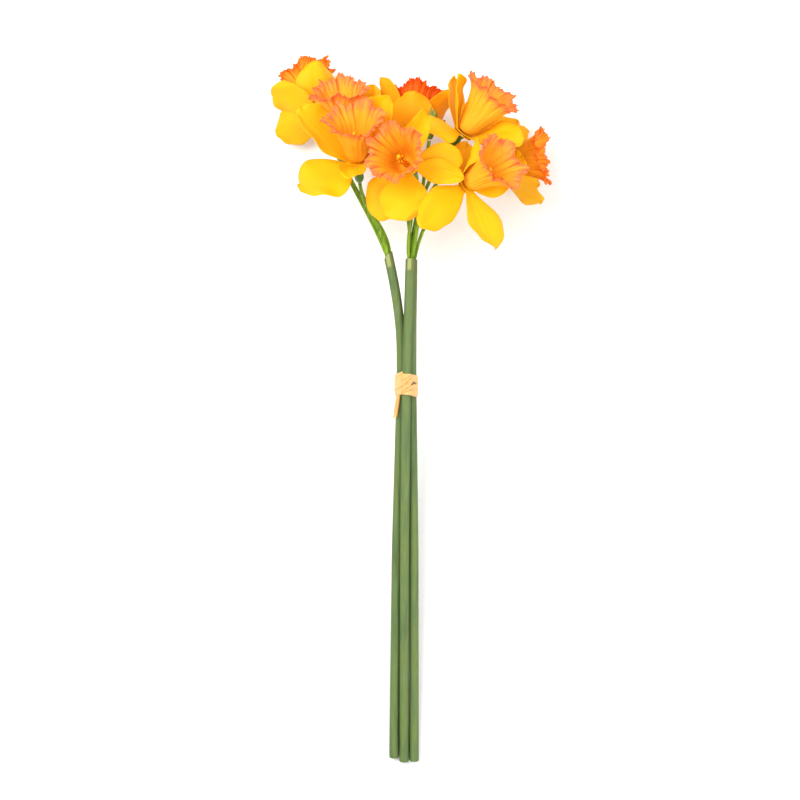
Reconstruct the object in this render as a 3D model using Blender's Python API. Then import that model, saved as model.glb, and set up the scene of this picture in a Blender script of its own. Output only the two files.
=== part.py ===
"""A bunch of eight daffodils and one green bud on three hollow stems, tied with a flat raffia band and lying down.

+X runs across the bunch, +Y from the cut ends to the flowers and +Z up from the surface it lies on. Lengths in the
tables are millimetres and angles are degrees.
"""
import math

import bmesh
import bpy
import numpy as np

MM = 0.001

# Stems
STEM_RADIUS = 3.1
STEM_SIDES = 12
SOCKET_RADIUS = 2.6
SOCKET_DEPTH = 14.0
CUT_END_Y = -230.0
STEM_SLOPE = 0.103
STEM_SPACING = 6.6
TIE_Y = 15.6

# Flower heads
TEPAL_THICKNESS = 0.9
TEPAL_ROWS = 5
TEPAL_COLUMNS = 4
RING_RADIUS = 5.0
RING_HOLE = 1.5
RING_REACH = 41.0
LAYER_STEP = 1.5
CORONA_WALL = 0.8
CORONA_SEGMENTS = 22
CORONA_FLOOR = 3.2
CORONA_PROFILE = ((3.4, 4.4), (7.0, 6.4), (16.0, 8.6), (26.0, 11.8), (33.0, 15.0), (37.0, 18.0))
STAMEN_LENGTH = 20.0
OVARY_LENGTH = 16.0
OVARY_RADIUS = 3.1
PEDICEL_RADIUS = 1.15

# Width of a tepal along its length, as a share of its full width
TEPAL_OUTLINE = ((0.0, 0.27), (0.12, 0.46), (0.3, 0.84), (0.5, 1.0), (0.7, 0.95), (0.86, 0.7), (0.95, 0.4), (1.0, 0.12))

# name: base point, facing direction, then six tepals (three outer, three inner), each
# (turn round the flower, lean from the axis at the base, lean at the tip, length, width, cup, twist, sideways sweep)
FLOWERS = {
    "far_left": ((-59, 186, 31), (-0.33, 0.86, -0.36), (
        (-54, 52, 30, 35, 30, 0.22, 0, 0), (86, 46, 30, 28, 22, 0.22, 0, 0), (-112, 77, 60, 30, 28, 0.15, 75, 0),
        (22, 36, 16, 34, 27, 0.36, 0, 0), (-92, 36, 20, 34, 24, 0.36, 0, 0), (150, 36, 18, 30, 22, 0.36, 0, 0))),
    "back_left": ((-45, 171, 46), (-0.10, 0.89, 0.42), (
        (130, 46, 40, 38, 24, 0.15, 0, 0), (10, 46, 42, 12, 12, 0.1, 0, 0), (-110, 40, 34, 22, 18, 0.15, 0, 0),
        (70, 36, 32, 36, 22, 0.30, 0, 0), (-50, 34, 30, 19, 16, 0.30, 0, 0), (190, 32, 26, 23, 18, 0.30, 0, 0))),
    "front_left": ((-36, 155, 76), (-0.08, 0.74, 0.67), (
        (-60, 80, 104, 38, 40, 0.0, 0, 0), (70, 42, 38, 11, 10, 0.15, 0, 0), (180, 62, 58, 18, 14, 0.1, 0, 0),
        (-118, 44, 46, 46, 31, 0.2, 0, 0), (-10, 50, 82, 30, 18, 0.15, 0, 0), (127, 40, 34, 43, 24, 0.25, 0, 0))),
    "front_centre": ((-4, 152.5, 80), (-0.26, 0.20, 0.94), (
        (-90, 84, 106, 34, 30, 0.0, 0, 14), (56, 96, 104, 30, 22, 0.0, 0, -26), (192, 40, 36, 20, 16, 0.1, 0, 0),
        (-60, 62, 94, 34, 32, -0.05, 0, 18), (28, 90, 104, 32, 17, 0.0, -20, -8), (111, 68, 42, 35, 16, 0.1, 75, -16))),
    "back_centre": ((-3, 169, 42), (0.13, 0.91, -0.37), (
        (-4, 56, 20, 33, 28, 0.25, 0, 0), (120, 44, 30, 30, 22, 0.22, 0, 0), (-120, 44, 30, 30, 22, 0.22, 0, 0),
        (60, 38, 30, 40, 24, 0.3, 0, 0), (180, 36, 24, 30, 20, 0.32, 0, 0), (-64, 34, 28, 43, 22, 0.3, 0, 0))),
    "top_right": ((30, 174, 60), (0.60, 0.74, 0.30), (
        (-40, 92, 118, 27, 26, 0.0, 0, 0), (138, 54, 48, 38, 24, 0.1, 0, 5), (-122, 52, 44, 35, 20, 0.1, 0, 10),
        (-76, 38, 30, 36, 20, 0.2, -25, 0), (80, 50, 48, 36, 25, 0.1, 80, 0), (185, 40, 34, 28, 20, 0.25, 0, 0))),
    "front_right": ((32, 141, 72), (0.66, 0.40, 0.64), (
        (6, 94, 106, 48, 24, 0.0, 0, 8), (152, 56, 46, 26, 20, 0.1, 0, 0), (-128, 76, 80, 25, 22, 0.1, 0, 0),
        (72, 78, 90, 42, 28, 0.0, 0, 0), (184, 42, 40, 28, 20, 0.25, 0, 0), (-98, 34, 30, 28, 26, 0.2, 50, 0))),
    "far_right": ((49, 158, 30), (0.96, 0.10, 0.20), (
        (80, 36, 38, 40, 31, 0.1, -40, 0), (-30, 38, 34, 26, 20, 0.15, 0, 0), (-150, 62, 54, 40, 24, 0.15, 0, 0),
        (156, 54, 48, 38, 22, 0.2, 0, 0), (10, 32, 28, 28, 18, 0.3, 0, 0), (-92, 34, 30, 24, 20, 0.3, 0, 0))),
}

# name: the stem it grows from and its place in that stem's open end
SOCKETS = {
    "far_left": ("left", 210), "back_left": ("left", 330), "front_left": ("left", 90),
    "front_centre": ("middle", 150), "back_centre": ("middle", 270), "bud": ("middle", 30),
    "top_right": ("right", 112), "front_right": ("right", 0), "far_right": ("right", 240),
}
BUD_BASE = (9.5, 171.0, 59.0)
BUD_AXIS = (0.15, 0.97, 0.1)

TEPAL_YELLOW = (0.95, 0.62, 0.02)
TEPAL_GOLD = (0.93, 0.52, 0.02)
CORONA_ORANGE = (0.95, 0.28, 0.05)
STAMEN_YELLOW = (0.93, 0.58, 0.05)
OVARY_GREEN = (0.11, 0.20, 0.02)
PEDICEL_GREEN = (0.22, 0.36, 0.04)
STEM_GREEN = (0.19, 0.29, 0.09)
RAFFIA_STRAW = (0.85, 0.62, 0.28)


def unit(vector):
    vector = np.asarray(vector, float)
    return vector / np.linalg.norm(vector)


def rows_between(table, place):
    """Value of a table of (place, value) at one place, eased between its rows."""
    for (p0, v0), (p1, v1) in zip(table, table[1:]):
        if place <= p1:
            share = (place - p0) / (p1 - p0)
            return v0 + (v1 - v0) * share
    return table[-1][1]


def flower_frame(axis):
    """Directions of a flower: towards the top of the heap, sideways, and the way it faces."""
    facing = unit(axis)
    top = unit(np.array((0.0, 0.0, 1.0)) - facing[2] * facing)
    return np.array((top, np.cross(facing, top), facing))


def thickened(points, faces, thickness):
    """A sheet given a thickness about its middle: points and faces of the closed solid."""
    points = np.asarray(points, float)
    normals = np.zeros_like(points)
    for face in faces:
        corners = points[list(face)]
        normal = np.zeros(3)
        for here, after in zip(corners, np.roll(corners, -1, axis=0)):
            normal += np.cross(here, after)
        for index in face:
            normals[index] += normal
    normals /= np.linalg.norm(normals, axis=1)[:, None]
    count = len(points)
    solid = np.vstack((points + normals * thickness / 2, points - normals * thickness / 2))
    walls = [tuple(face) for face in faces] + [tuple(i + count for i in reversed(face)) for face in faces]
    used = {(a, b) for face in faces for a, b in zip(face, face[1:] + face[:1])}
    for a, b in used:
        if (b, a) not in used:
            walls.append((b, a, a + count, b + count))
    return solid, walls


def tepal_rows(row, lift):
    """Grid of points of one tepal in the flower's own frame, from the ring to the tip."""
    turn, lean, tip_lean, length, width, cup, twist, sweep = row
    grid = []
    step = length / TEPAL_ROWS
    middle = np.array((RING_RADIUS * math.cos(math.radians(turn)), RING_RADIUS * math.sin(math.radians(turn)), lift))
    rise = np.array((0.0, 0.0, 1.0))
    for number in range(1, TEPAL_ROWS + 1):
        share = number / TEPAL_ROWS
        angle = math.radians(lean + (tip_lean - lean) * (share - 0.5 / TEPAL_ROWS))
        heading = math.radians(turn + sweep * share)
        out = np.array((math.cos(heading), math.sin(heading), 0.0))
        side = np.array((-out[1], out[0], 0.0))
        middle = middle + step * (out * math.sin(angle) + rise * math.cos(angle))
        inward = -out * math.cos(angle) + rise * math.sin(angle)
        swing = math.radians(twist * share)
        across = side * math.cos(swing) + inward * math.sin(swing)
        face = inward * math.cos(swing) - side * math.sin(swing)
        half = width * rows_between(TEPAL_OUTLINE, share) / 2
        line = []
        for column in range(TEPAL_COLUMNS + 1):
            place = 2 * column / TEPAL_COLUMNS - 1
            line.append(middle + across * half * place + face * cup * half * place * place)
        grid.append(line)
    return grid


def tepal_layer(tepals, lift):
    """Three tepals cut in one piece with the ring that threads onto the flower's neck."""
    tepals = sorted(tepals, key=lambda row: row[0] % 360)
    points, faces, outer, inner = [], [], [], []
    for row in tepals:
        for column in range(TEPAL_COLUMNS + 1):
            angle = math.radians(row[0] + (2 * column / TEPAL_COLUMNS - 1) * RING_REACH)
            spoke = np.array((math.cos(angle), math.sin(angle), 0.0))
            outer.append(len(points))
            points.append(spoke * RING_RADIUS + np.array((0.0, 0.0, lift)))
            inner.append(len(points))
            points.append(spoke * RING_HOLE + np.array((0.0, 0.0, lift)))
    for here in range(len(outer)):
        after = (here + 1) % len(outer)
        faces.append((inner[here], outer[here], outer[after], inner[after]))
    columns = TEPAL_COLUMNS + 1
    for number, row in enumerate(tepals):
        below = outer[number * columns:(number + 1) * columns]
        for line in tepal_rows(row, lift):
            above = list(range(len(points), len(points) + columns))
            points.extend(line)
            for c in range(TEPAL_COLUMNS):
                faces.append((below[c], above[c], above[c + 1], below[c + 1]))
            below = above
    return thickened(points, faces, TEPAL_THICKNESS)


def corona_cup(seed):
    """The ruffled trumpet: a thin cup with a closed floor and a frilled, flaring mouth."""
    points = [np.array((0.0, 0.0, CORONA_FLOOR))]
    faces = []
    depth = CORONA_PROFILE[-1][0]
    for along, radius in CORONA_PROFILE:
        share = max(0.0, (along - 12.0) / (depth - 12.0))
        for number in range(CORONA_SEGMENTS):
            angle = 2 * math.pi * number / CORONA_SEGMENTS
            ruffle = 0.10 * share * math.cos(7 * angle + seed) + 0.05 * share * math.cos(3 * angle + 2 * seed)
            frill = 2.2 * share ** 2 * math.sin(7 * angle + 1.3 * seed) + 1.4 * share * math.sin(2 * angle + seed)
            reach = radius * (1.0 + ruffle)
            points.append(np.array((reach * math.cos(angle), reach * math.sin(angle), along + frill)))
    for number in range(CORONA_SEGMENTS):
        after = (number + 1) % CORONA_SEGMENTS
        faces.append((0, 1 + number, 1 + after))
        for ring in range(len(CORONA_PROFILE) - 1):
            low, high = 1 + ring * CORONA_SEGMENTS, 1 + (ring + 1) * CORONA_SEGMENTS
            faces.append((low + number, high + number, high + after, low + after))
    return thickened(points, faces, CORONA_WALL)


def lofted(rings, start, end):
    """Closed solid through rings of points, closed by a point at each end."""
    sides = len(rings[0])
    points = [np.asarray(start, float)]
    for ring in rings:
        points.extend(np.asarray(p, float) for p in ring)
    points.append(np.asarray(end, float))
    last = len(points) - 1
    faces = []
    for number in range(sides):
        after = (number + 1) % sides
        faces.append((0, 1 + after, 1 + number))
        for ring in range(len(rings) - 1):
            low, high = 1 + ring * sides, 1 + (ring + 1) * sides
            faces.append((low + number, low + after, high + after, high + number))
        low = 1 + (len(rings) - 1) * sides
        faces.append((last, low + number, low + after))
    return np.array(points), faces


def turned(profile, sides, lobes=0.0, count=3):
    """A solid of revolution about the flower's axis, with slight lobes: profile rows are (along, radius)."""
    rings = []
    for along, radius in profile:
        ring = []
        for number in range(sides):
            angle = 2 * math.pi * number / sides
            reach = radius * (1.0 + lobes * math.cos(count * angle))
            ring.append((reach * math.cos(angle), reach * math.sin(angle), along))
        rings.append(ring)
    return lofted(rings, (0, 0, profile[0][0] - 0.3), (0, 0, profile[-1][0] + 0.3))


def stamens():
    """Six anthers round the style, moulded as one spike that stands on the cup's floor."""
    profile = ((4.2, 2.2), (9.0, 1.6), (12.0, 2.6), (STAMEN_LENGTH - 1, 2.2), (STAMEN_LENGTH, 1.1),
               (STAMEN_LENGTH + 4, 1.3))
    return turned(profile, 6)


def ovary():
    """The swollen green seed case behind the tepals."""
    profile = ((-OVARY_LENGTH, 1.3), (-OVARY_LENGTH + 3.5, 2.6), (-OVARY_LENGTH / 2, OVARY_RADIUS), (-3.5, 2.5),
               (-1.1, 2.9))
    return turned(profile, 8)


def placed(solid, base, axis):
    points, faces = solid
    return points @ flower_frame(axis) + np.asarray(base, float), faces


def stem_x(name, y):
    """Sideways place of a stem at one distance along the bunch."""
    tables = {
        "left": ((CUT_END_Y, -STEM_SPACING * 2), (-90, -11.4), (-20, -9.4), (TIE_Y, -8.3), (45, -8.4), (60, -9.8),
                 (80, -12.8), (102, -17.6), (140, -26.0)),
        "middle": ((CUT_END_Y, -STEM_SPACING), (-90, -6.3), (TIE_Y, -5.2), (140, -1.0)),
        "right": ((CUT_END_Y, 0.0), (-90, -0.3), (-20, -1.2), (TIE_Y, -1.7), (60, -1.6), (80, -1.15), (140, -1.0)),
    }
    table = tables[name]
    places = [row[0] for row in table]
    values = [row[1] for row in table]
    reach = 9.0
    samples = np.interp([y - reach, y - reach / 2, y, y + reach / 2, y + reach], places, values)
    return float(np.mean(samples))


def stem_point(name, y):
    """Centre of a stem: the outer two lie side by side and the middle one rides over them towards the flowers."""
    x = stem_x(name, y)
    z = STEM_RADIUS + STEM_SLOPE * (y - CUT_END_Y)
    if name == "middle":
        gap = max(x - stem_x("left", y), 0.0)
        other = max(stem_x("right", y) - x, 0.0)
        clear = STEM_SPACING
        closest = min(gap, other)
        z += math.sqrt(max(clear * clear - min(closest, clear) ** 2, 0.0))
    return np.array((x, y, z))


STEM_TOPS = {"left": 98.0, "middle": 96.0, "right": 95.0}
STEM_ENDS = {"left": CUT_END_Y + 2.5, "middle": CUT_END_Y, "right": CUT_END_Y + 0.3}


def ring_round(centre, direction, radius, sides, slant=0.0, start=0.0):
    """Ring of points round a line that runs roughly along the bunch."""
    along = unit(direction)
    across = unit(np.cross(along, (0.0, 0.0, 1.0)))
    upward = np.cross(across, along)
    ring = []
    for number in range(sides):
        angle = start + 2 * math.pi * number / sides
        ring.append(centre + radius * (across * math.cos(angle) + upward * math.sin(angle))
                    + along * slant * math.cos(angle - 0.6))
    return ring


def stem(name):
    """A solid green stem whose top end is open, to take the flower stalks."""
    bottom, top = STEM_ENDS[name], STEM_TOPS[name]
    slant = 2.4 if name == "left" else 0.5
    places = [bottom, bottom + 1.0] + list(np.linspace(bottom + 30, top - 14, 11)) + [top - 6]
    rings = []
    for number, y in enumerate(places):
        direction = stem_point(name, y + 1) - stem_point(name, y - 1)
        radius = STEM_RADIUS * (0.86 if number == 0 else 1.0)
        rings.append(ring_round(stem_point(name, y), direction, radius, STEM_SIDES))
    direction = stem_point(name, top + 1) - stem_point(name, top - 1)
    rings.append(ring_round(stem_point(name, top), direction, STEM_RADIUS, STEM_SIDES, slant))
    rings.append(ring_round(stem_point(name, top), direction, SOCKET_RADIUS, STEM_SIDES, slant))
    floor = stem_point(name, top - SOCKET_DEPTH)
    rings.append(ring_round(floor, direction, SOCKET_RADIUS, STEM_SIDES))
    return lofted(rings, stem_point(name, bottom), floor)


def bent_path(start, leave, end, arrive, count):
    """Smooth path between two points that leaves and arrives in the given directions."""
    points = []
    for share in np.linspace(0.0, 1.0, count):
        h0 = 2 * share ** 3 - 3 * share ** 2 + 1
        h1 = share ** 3 - 2 * share ** 2 + share
        h2 = -2 * share ** 3 + 3 * share ** 2
        h3 = share ** 3 - share ** 2
        points.append(h0 * start + h1 * leave + h2 * end + h3 * arrive)
    return points


def tube(path, radii, sides):
    rings = []
    for number, centre in enumerate(path):
        before, after = path[max(number - 1, 0)], path[min(number + 1, len(path) - 1)]
        rings.append(ring_round(centre, after - before, radii[number], sides))
    return lofted(rings, path[0], path[-1])


def pedicel(name, base, axis, back):
    """The thin stalk from a stem's open end to the back of one head."""
    stem_name, place = SOCKETS[name]
    top = STEM_TOPS[stem_name]
    direction = unit(stem_point(stem_name, top + 1) - stem_point(stem_name, top - 1))
    across = unit(np.cross(direction, (0.0, 0.0, 1.0)))
    upward = np.cross(across, direction)
    offset = 1.42 * (across * math.cos(math.radians(place)) + upward * math.sin(math.radians(place)))
    mouth = stem_point(stem_name, top) + offset + direction * 1.5
    foot = mouth - direction * 10.0
    end = np.asarray(base, float) - unit(axis) * back
    span = np.linalg.norm(end - mouth)
    outward = direction + offset * 0.12
    path = [foot] + bent_path(mouth, outward * span * 0.9, end, unit(axis) * span * 0.9, 7)
    radii = [0.95, 0.95] + [PEDICEL_RADIUS] * 6
    return tube(path, radii, 6)


def bud():
    """Two pointed green bracts folded round each other."""
    profile = ((0.0, 1.3), (3.0, 2.6), (9.0, 3.6), (15.0, 2.9), (20.0, 1.2))
    return turned(profile, 8, 0.12, 2)


def band_loop(y, grow):
    """Outline round the three stems at one place, as a ring of points."""
    centres = [stem_point(name, y) for name in ("left", "middle", "right")]
    middle = sum(centres) / 3
    ring = []
    for number in range(24):
        angle = 2 * math.pi * number / 24
        outward = np.array((math.cos(angle), 0.0, math.sin(angle)))
        reach = max(float(np.dot(c - middle, outward)) for c in centres) + STEM_RADIUS + grow
        ring.append((angle, reach))
    points = []
    for number in range(24):
        angle, reach = ring[number]
        later, other = ring[(number + 1) % 24]
        matrix = np.array(((math.cos(angle), math.sin(angle)), (math.cos(later), math.sin(later))))
        x, z = np.linalg.solve(matrix, (reach, other))
        points.append(np.array((middle[0] + x, y, middle[2] + z)))
    return points


def raffia_band():
    """Flat raffia wound round all three stems."""
    places = (TIE_Y - 8.3, TIE_Y - 3.0, TIE_Y + 2.5, TIE_Y + 8.3)
    points, faces = [], []
    for grow in (0.35, 1.25):
        for number, y in enumerate(places):
            bulge = 0.25 if grow > 1 and number in (1, 2) else 0.0
            points.extend(band_loop(y, grow + bulge))
    count = 24
    half = count * len(places)
    for number in range(count):
        after = (number + 1) % count
        for row in range(len(places) - 1):
            low, high = row * count, (row + 1) * count
            faces.append((low + number, low + after, high + after, high + number))
            faces.append((half + low + number, half + high + number, half + high + after, half + low + after))
        faces.append((number, half + number, half + after, after))
        top = (len(places) - 1) * count
        faces.append((top + number, top + after, half + top + after, half + top + number))
    return np.array(points), faces


def raffia_tail():
    """The band's loose end, hanging over the left stem."""
    points, faces = [], []
    path = []
    for share in np.linspace(0.0, 1.0, 5):
        y = TIE_Y - 8.7 - 14.5 * share
        under = stem_point("left", y)
        top = under[2] + STEM_RADIUS + 1.9 - 0.9 * share
        path.append((under[0] - 1.9 - 1.4 * share, y, top, 1.4 - 0.1 * share))
    for x, y, z, half in path:
        points.append(np.array((x - half, y, z - 0.25)))
        points.append(np.array((x + half, y, z + 0.25)))
    for row in range(len(path) - 1):
        low, high = 2 * row, 2 * row + 2
        faces.append((low, high, high + 1, low + 1))
    return thickened(points, faces, 0.7)


def solids():
    """Every piece of the bunch: name, (points, faces), colour and roughness."""
    pieces = []
    for name in STEM_TOPS:
        pieces.append((name + "_stem", stem(name), STEM_GREEN, 0.55))
    for number, (name, (base, axis, tepals)) in enumerate(FLOWERS.items()):
        outer = placed(tepal_layer(tepals[:3], 0.0), base, axis)
        inner = placed(tepal_layer(tepals[3:], LAYER_STEP), base, axis)
        pieces.append((name + "_outer_tepals", outer, TEPAL_GOLD, 0.6))
        pieces.append((name + "_inner_tepals", inner, TEPAL_YELLOW, 0.6))
        pieces.append((name + "_corona", placed(corona_cup(1.7 * number), base, axis), CORONA_ORANGE, 0.55))
        pieces.append((name + "_stamens", placed(stamens(), base, axis), STAMEN_YELLOW, 0.7))
        pieces.append((name + "_ovary", placed(ovary(), base, axis), OVARY_GREEN, 0.5))
        pieces.append((name + "_pedicel", pedicel(name, base, axis, OVARY_LENGTH + 0.8), PEDICEL_GREEN, 0.5))
    pieces.append(("green_bud", placed(bud(), BUD_BASE, BUD_AXIS), OVARY_GREEN, 0.5))
    pieces.append(("bud_pedicel", pedicel("bud", BUD_BASE, BUD_AXIS, 1.0), PEDICEL_GREEN, 0.5))
    pieces.append(("raffia_band", raffia_band(), RAFFIA_STRAW, 0.8))
    pieces.append(("raffia_tail", raffia_tail(), RAFFIA_STRAW, 0.8))
    return pieces


def centred(pieces):
    """The bunch moved so that it stands on z = 0 with the middle of its box over the origin."""
    points = np.vstack([solid[0] for _, solid, _, _ in pieces])
    low, high = points.min(axis=0), points.max(axis=0)
    move = np.array(((low[0] + high[0]) / 2, (low[1] + high[1]) / 2, low[2]))
    return [(name, (solid[0] - move, solid[1]), colour, roughness) for name, solid, colour, roughness in pieces]


def clear_scene():
    for thing in list(bpy.data.objects):
        bpy.data.objects.remove(thing, do_unlink=True)


def add_piece(name, solid, colour, roughness):
    points, faces = solid
    mesh = bpy.data.meshes.new(name)
    mesh.from_pydata([tuple(p * MM) for p in points], [], faces)
    shell = bmesh.new()
    shell.from_mesh(mesh)
    bmesh.ops.recalc_face_normals(shell, faces=shell.faces)
    shell.to_mesh(mesh)
    shell.free()
    for polygon in mesh.polygons:
        polygon.use_smooth = True
    material = bpy.data.materials.new(name)
    material.use_nodes = True
    shader = material.node_tree.nodes["Principled BSDF"]
    shader.inputs["Base Color"].default_value = (*colour, 1.0)
    shader.inputs["Roughness"].default_value = roughness
    shader.inputs["Metallic"].default_value = 0.0
    mesh.materials.append(material)
    piece = bpy.data.objects.new(name, mesh)
    bpy.context.scene.collection.objects.link(piece)


def build():
    clear_scene()
    for name, solid, colour, roughness in centred(solids()):
        add_piece(name, solid, colour, roughness)


build()
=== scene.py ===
import math

import bmesh
import bpy
from mathutils import Matrix, Vector, noise


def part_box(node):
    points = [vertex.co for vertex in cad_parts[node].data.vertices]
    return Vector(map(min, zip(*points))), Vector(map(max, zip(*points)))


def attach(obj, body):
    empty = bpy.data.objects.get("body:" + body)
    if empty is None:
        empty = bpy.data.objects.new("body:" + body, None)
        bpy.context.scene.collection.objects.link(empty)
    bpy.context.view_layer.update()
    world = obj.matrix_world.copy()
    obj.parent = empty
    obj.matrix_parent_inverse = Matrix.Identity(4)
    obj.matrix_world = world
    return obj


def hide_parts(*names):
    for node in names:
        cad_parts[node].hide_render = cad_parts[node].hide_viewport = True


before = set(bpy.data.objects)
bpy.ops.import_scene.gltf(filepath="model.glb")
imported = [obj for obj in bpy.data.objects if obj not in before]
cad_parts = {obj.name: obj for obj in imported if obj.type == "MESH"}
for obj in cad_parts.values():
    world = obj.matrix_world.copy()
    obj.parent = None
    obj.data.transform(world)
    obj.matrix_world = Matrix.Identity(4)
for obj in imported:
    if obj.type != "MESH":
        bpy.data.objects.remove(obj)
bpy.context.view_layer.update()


# ---- The three stems ----
# Tubes of moulded polyethylene with fine ridges drawn along them. They lie side by side, and the middle one
# climbs over the others. Each top is an open socket with a paler sleeve, and each foot is a plain cut.

MM = 0.001  # everything is drawn in millimetres and is put into the frame, in metres, at the end
STEM_RADIUS = 3.1
SOCKET_RADIUS = 2.6
SOCKET_DEPTH = 14.0
CUT_END_Y = -230.0
STEM_SLOPE = 0.103
STEM_SPACING = 6.6
TIE_Y = 15.6
STEM_TOPS = {"left": 98.0, "middle": 96.0, "right": 95.0}
STEM_FEET = {"left": CUT_END_Y + 2.5, "middle": CUT_END_Y, "right": CUT_END_Y + 0.3}
MOUTH_SLANTS = {"left": 2.4, "middle": 0.5, "right": 0.5}
MOUTH_REACH = 12.0
# y and x of each stem's centre line, from the cut end to past its top
STEM_BENDS = {
    "left": ((CUT_END_Y, -STEM_SPACING * 2), (-90, -11.4), (-20, -9.4), (TIE_Y, -8.3), (45, -8.4),
             (60, -9.8), (80, -12.8), (102, -17.6), (140, -26.0)),
    "middle": ((CUT_END_Y, -STEM_SPACING), (-90, -6.3), (TIE_Y, -5.2), (140, -1.0)),
    "right": ((CUT_END_Y, 0.0), (-90, -0.3), (-20, -1.2), (TIE_Y, -1.7), (60, -1.6), (80, -1.15),
              (140, -1.0)),
}
BEND_EASING = (-9.0, -4.5, 0.0, 4.5, 9.0)
STEM_COLUMNS = 96
STEM_STEPS = 110
MERGE_GAP = 0.002
UP = Vector((0.0, 0.0, 1.0))


def between(table, place):
    """Value at one place of a table of (place, value) rows."""
    for (p0, v0), (p1, v1) in zip(table, table[1:]):
        if place <= p1:
            return v0 + (v1 - v0) * max(place - p0, 0.0) / (p1 - p0)
    return table[-1][1]


def stem_x(name, y):
    """Sideways place of a stem, with its bends eased over 18 mm."""
    return sum(between(STEM_BENDS[name], y + step) for step in BEND_EASING) / len(BEND_EASING)


def stem_centre(name, y):
    """Centre line of a stem: the middle one rides over the others as they close in on it."""
    x = stem_x(name, y)
    z = STEM_RADIUS + STEM_SLOPE * (y - CUT_END_Y)
    if name == "middle":
        left_gap = max(x - stem_x("left", y), 0.0)
        right_gap = max(stem_x("right", y) - x, 0.0)
        closest = min(left_gap, right_gap, STEM_SPACING)
        z += math.sqrt(STEM_SPACING ** 2 - closest ** 2)
    return Vector((x, y, z))


def add_sheet(shell, columns, rows, place):
    """A flat sheet with its own UV map, each point of which is moved to where place(u, v) says."""
    if not shell.loops.layers.uv:
        shell.loops.layers.uv.new("SheetMap")
    made = bmesh.ops.create_grid(shell, x_segments=columns, y_segments=rows, size=0.5, calc_uvs=True)
    for vert in made["verts"]:
        vert.co = place(vert.co.x + 0.5, vert.co.y + 0.5)
    return made["verts"]


def add_rolled(shell, segments, rings):
    """A sheet rolled into a tube: rings are (centre, direction, radius), and radius may follow the angle."""
    frames = []
    for centre, direction, reach in rings:
        across = direction.cross(UP).normalized()
        frames.append((centre, across, across.cross(direction).normalized(), reach))

    def place(u, v):
        centre, across, upward, reach = frames[round(v * (len(frames) - 1))]
        angle = 2 * math.pi * u
        size = reach(angle) if callable(reach) else reach
        return centre + (across * math.cos(angle) + upward * math.sin(angle)) * size

    verts = add_sheet(shell, segments, len(rings) - 1, place)
    bmesh.ops.remove_doubles(shell, verts=verts, dist=MERGE_GAP)


def ridged(radius):
    """Twenty-four fine ridges, every second one a little lower, the others out to the tube's full radius."""

    def reach(angle):
        return radius * (0.985 + 0.015 * math.cos(24 * angle)) * (0.995 + 0.005 * math.cos(12 * angle))

    return reach


def stem_shell(name):
    """A stem from its rounded cut end up to its slanted mouth, and down again inside the socket."""
    foot, top = STEM_FEET[name], STEM_TOPS[name]
    profile = [(foot + rise, share) for rise, share in
               ((0.0, 0.0), (0.0, 0.5), (0.0, 0.8), (0.15, 0.9), (0.5, 0.97), (1.0, 1.0))]
    profile += [(foot + 1.0 + (top - foot - 9.0) * n / STEM_STEPS, 1.0) for n in range(1, STEM_STEPS + 1)]
    profile += [(top - drop, 1.0) for drop in (6.0, 4.0, 2.0, 0.8, 0.3)] + [(top, 0.985)]
    shell = bmesh.new()
    rings = []
    for y, share in profile:
        direction = stem_centre(name, y + 1) - stem_centre(name, y - 1)
        rings.append((stem_centre(name, y), direction, ridged(STEM_RADIUS * share) if share else 0.0))
    direction = (stem_centre(name, top + 1) - stem_centre(name, top - 1)).normalized()
    mouth = stem_centre(name, top)
    floor = stem_centre(name, top - SOCKET_DEPTH)
    rings += [(mouth, direction, 0.93 * STEM_RADIUS), (mouth, direction, SOCKET_RADIUS)]
    rings += [(mouth - direction * depth, direction, SOCKET_RADIUS) for depth in (0.5, 4.0, 9.0)]
    rings += [(floor, direction, SOCKET_RADIUS), (floor, direction, 0.0)]
    add_rolled(shell, STEM_COLUMNS, rings)
    across = direction.cross(UP).normalized()
    upward = across.cross(direction)
    for vert in shell.verts:
        away = vert.co - mouth
        reach = max(1.0 + away.dot(direction) / MOUTH_REACH, 0.0)
        if reach > 0:
            angle = math.atan2(away.dot(upward), away.dot(across))
            vert.co += direction * MOUTH_SLANTS[name] * math.cos(angle - 0.6) * min(reach, 1.0)
    return shell


def linear(code):
    """A colour from its sRGB hex code."""
    parts = [int(code[i:i + 2], 16) / 255 for i in (1, 3, 5)]
    return (*[c / 12.92 if c <= 0.04045 else ((c + 0.055) / 1.055) ** 2.4 for c in parts], 1.0)


def add_node(tree, kind, inputs=None, stops=None, **settings):
    """A shader node with its settings. Inputs are values, or the sockets that feed them. Stops are a ramp's
    (place, colour) pairs, its two ends first."""
    made = tree.nodes.new("ShaderNode" + kind)
    for key, value in settings.items():
        setattr(made, key, value)
    for key, value in (inputs or {}).items():
        if isinstance(value, bpy.types.NodeSocket):
            tree.links.new(value, made.inputs[key])
        else:
            made.inputs[key].default_value = value
    for number, (place, code) in enumerate(stops or ()):
        ramp = made.color_ramp.elements
        stop = ramp[number] if number < 2 else ramp.new(place)
        stop.position = place
        stop.color = linear(code)
    return made


def new_material(name):
    """An empty material: its node tree and its output's surface socket."""
    material = bpy.data.materials.new(name)
    material.use_nodes = True
    material.node_tree.nodes.clear()
    return material, material.node_tree, add_node(material.node_tree, "OutputMaterial").inputs["Surface"]


def sheet_places(tree):
    """The sheet's own map, taken apart: X runs round or across the piece and Y runs along it."""
    sheet = add_node(tree, "UVMap", uv_map="SheetMap")
    return add_node(tree, "SeparateXYZ", {"Vector": sheet.outputs["UV"]}).outputs


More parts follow.
